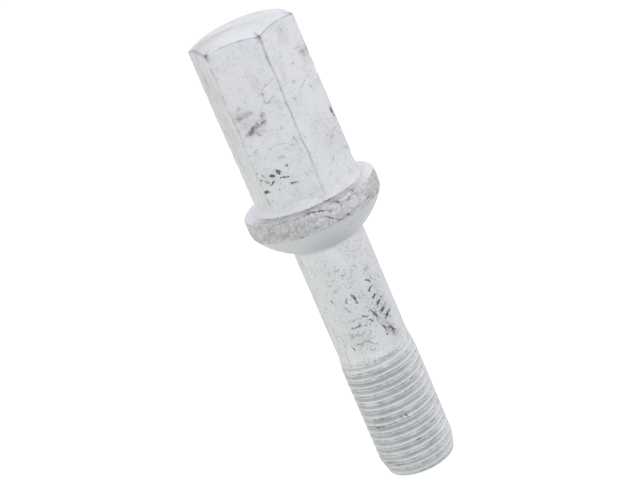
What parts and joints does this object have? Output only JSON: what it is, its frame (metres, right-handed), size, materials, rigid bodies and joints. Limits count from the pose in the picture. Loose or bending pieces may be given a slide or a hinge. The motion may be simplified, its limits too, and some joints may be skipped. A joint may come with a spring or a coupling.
{
  "type": "wheel bolt",
  "caption": "Car wheel bolt with a tall hexagon head, a round collar with a ball seat, a plain shank and a threaded end.",
  "frame": {"origin": "centre of the flat thread end, which the bolt stands on", "axes": "+Z along the bolt's axis from the thread end to the head; one flat of the hexagon faces -Y"},
  "size_m": [0.0242, 0.0242, 0.085],
  "materials": {
    "coated_steel": "matt silver-grey zinc flake coating, worn and pitted"
  },
  "bodies": {
    "root": {"wheel_bolt": "coated_steel"}
  },
  "joints": []
}
